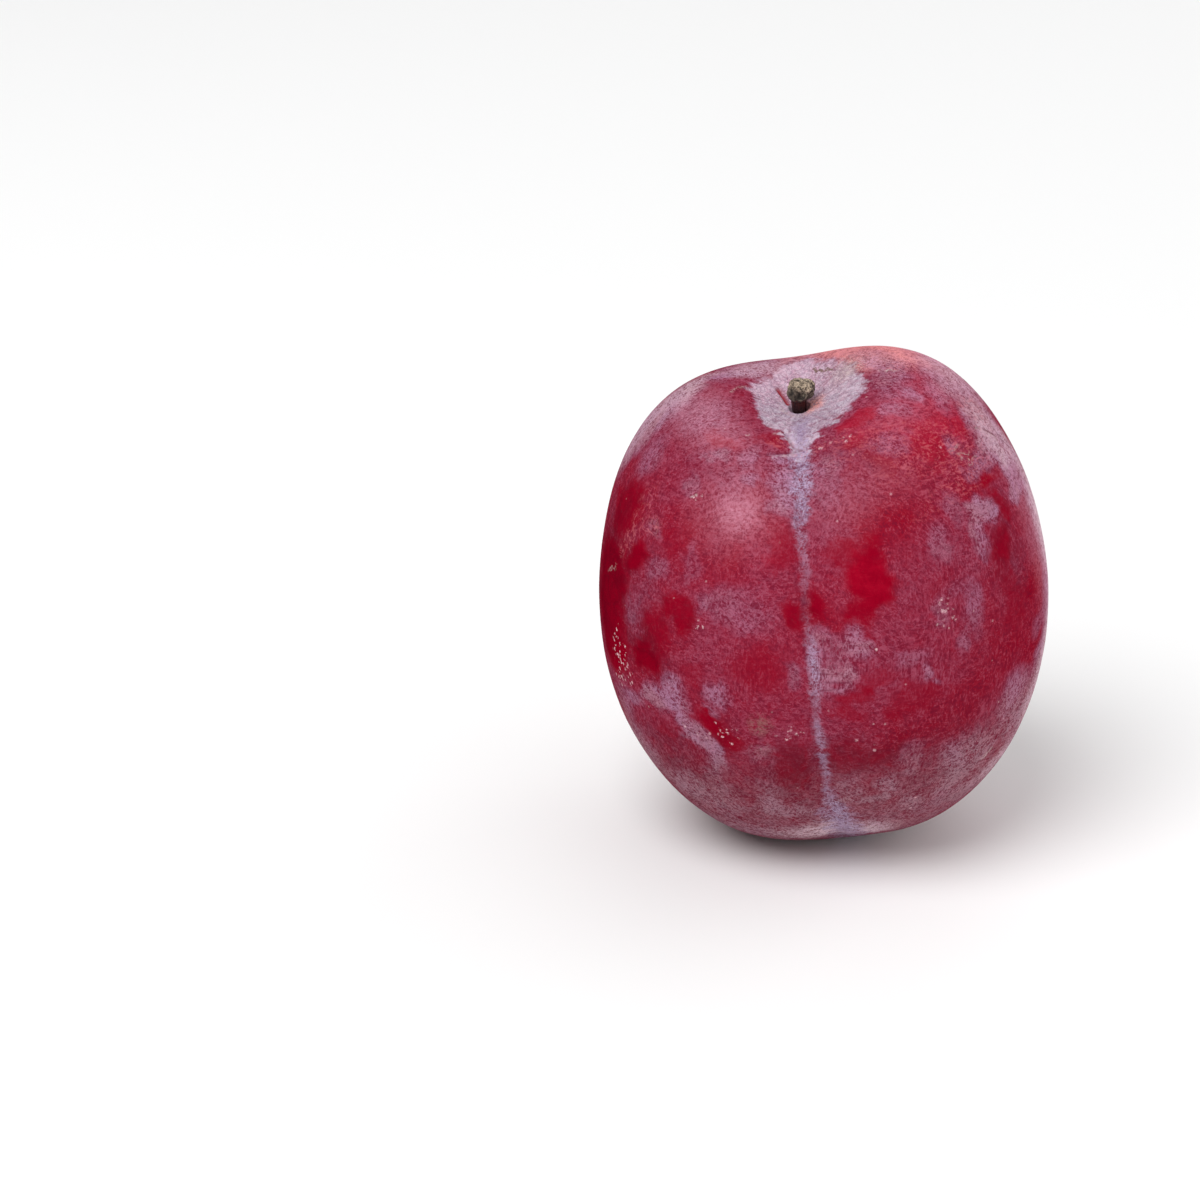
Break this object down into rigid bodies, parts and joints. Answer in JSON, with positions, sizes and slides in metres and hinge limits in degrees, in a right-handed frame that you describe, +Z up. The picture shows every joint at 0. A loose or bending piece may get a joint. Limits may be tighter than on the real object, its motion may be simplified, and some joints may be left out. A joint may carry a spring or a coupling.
{
  "type": "plum",
  "caption": "Whole red plum with a shallow suture, an open stem cavity and a short knobbed stem, resting on a small flat spot.",
  "frame": {"origin": "middle of the small flat spot that the plum rests on", "axes": "+Z up from the surface it rests on; the suture faces -Y, and the stem end is at +Z, leaning a little towards -Y and -X"},
  "size_m": [0.0515, 0.0538, 0.0565],
  "materials": {
    "plum_skin": "satin",
    "stem_bark": "matte"
  },
  "bodies": {
    "root": {"fruit": "plum_skin", "stem": "stem_bark"}
  },
  "joints": []
}
